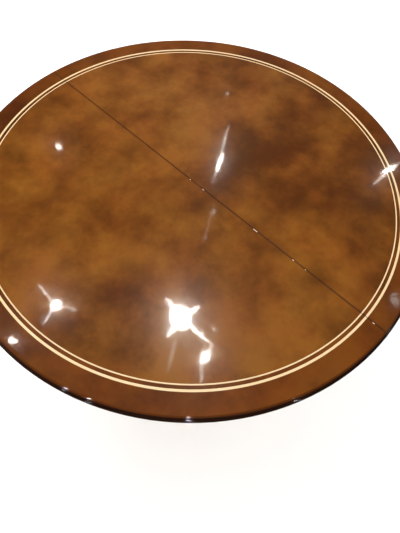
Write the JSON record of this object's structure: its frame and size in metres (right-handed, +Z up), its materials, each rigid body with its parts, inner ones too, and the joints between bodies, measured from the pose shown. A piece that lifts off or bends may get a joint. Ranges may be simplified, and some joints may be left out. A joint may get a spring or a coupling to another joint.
{
  "type": "round pedestal table",
  "caption": "Round inlaid dining table whose split top slides apart on a turned column with curved sabre legs.",
  "frame": {"origin": "on the floor, on the column's axis", "axes": "+Z up; the two halves of the top slide apart along X, the left half towards -X; the seam between them runs along Y"},
  "size_m": [1.22, 1.22, 0.75],
  "materials": {
    "burl_veneer": "high gloss lacquer over mottled amber and dark brown burl",
    "border_veneer": "high gloss lacquer over mottled reddish brown burl",
    "pale_stringing": "gloss lacquer over pale boxwood",
    "dark_edge_wood": "gloss lacquer over near-black brown solid wood",
    "mahogany": "satin lacquer over dark red-brown wood",
    "core_board": "raw sanded board",
    "softwood": "raw sawn softwood",
    "beech": "waxed beech",
    "brass": "aged satin brass",
    "steel": "zinc plated steel",
    "black_steel": "black stove enamel",
    "nylon": "matte dark nylon"
  },
  "bodies": {
    "pedestal": {"bearer_block": "mahogany", "column": "mahogany", "neck_collar": "brass", "leg_hub": "mahogany", "tie_rod": "steel", "tie_rod_nuts": "steel", "pendant": "mahogany", "spider_plate": "black_steel", "spider_screws": "steel", "foot_glides": "nylon", "fixed_slide_front": "beech", "fixed_slide_back": "beech", "fixed_slide_screws": "steel", "gear_plate": "steel", "gear_plate_screws": "steel", "pinion_post": "steel", "pinion_clip": "steel", "leg_back_right": "mahogany", "leg_back_left": "mahogany", "leg_front_left": "mahogany", "leg_front_right": "mahogany", "toe_cap_back_right": "brass", "toe_cap_back_left": "brass", "toe_cap_front_left": "brass", "toe_cap_front_right": "brass"},
    "top_left": {"left_panel": "core_board", "left_field_veneer": "burl_veneer", "left_border_veneer": "border_veneer", "left_inner_line": "pale_stringing", "left_outer_line": "pale_stringing", "left_edge_moulding": "dark_edge_wood", "left_apron": "mahogany", "left_glue_blocks": "softwood", "left_slide_front": "beech", "left_slide_back": "beech", "left_rack": "beech", "left_screws": "steel", "locating_pins": "brass", "lock_plates": "brass", "lock_rivets": "brass"},
    "top_right": {"right_panel": "core_board", "right_field_veneer": "burl_veneer", "right_border_veneer": "border_veneer", "right_inner_line": "pale_stringing", "right_outer_line": "pale_stringing", "right_edge_moulding": "dark_edge_wood", "right_apron": "mahogany", "right_glue_blocks": "softwood", "right_slide_front": "beech", "right_slide_back": "beech", "right_rack": "beech", "right_screws": "steel", "pin_bushes": "brass", "lock_keepers": "brass"},
    "pinion": {"pinion": "brass"},
    "front_lock_lever": {"front_lock_lever": "brass"},
    "back_lock_lever": {"back_lock_lever": "brass"}
  },
  "joints": [
    {"name": "left_slide", "type": "slide", "parent": "pedestal", "child": "top_left", "axis": [-1, 0, 0], "range_m": [0, 0.25]},
    {"name": "right_slide", "type": "slide", "parent": "pedestal", "child": "top_right", "axis": [1, 0, 0], "range_m": [0, 0.25]},
    {"name": "pinion_spin", "type": "hinge", "parent": "pedestal", "child": "pinion", "pos_m": [0, 0, 0.7105], "axis": [0, 0, 1], "range_deg": [0, 716.5]},
    {"name": "front_lock", "type": "hinge", "parent": "top_left", "child": "front_lock_lever", "pos_m": [-0.028, -0.33, 0.7185], "axis": [0, 0, -1], "range_deg": [0, 90]},
    {"name": "back_lock", "type": "hinge", "parent": "top_left", "child": "back_lock_lever", "pos_m": [-0.028, 0.33, 0.7185], "axis": [0, 0, 1], "range_deg": [0, 90]}
  ],
  "couplings": [
    {"joint": "right_slide", "follows": "left_slide", "ratio": 1},
    {"joint": "pinion_spin", "follows": "left_slide", "rad_per_m": 50}
  ]
}
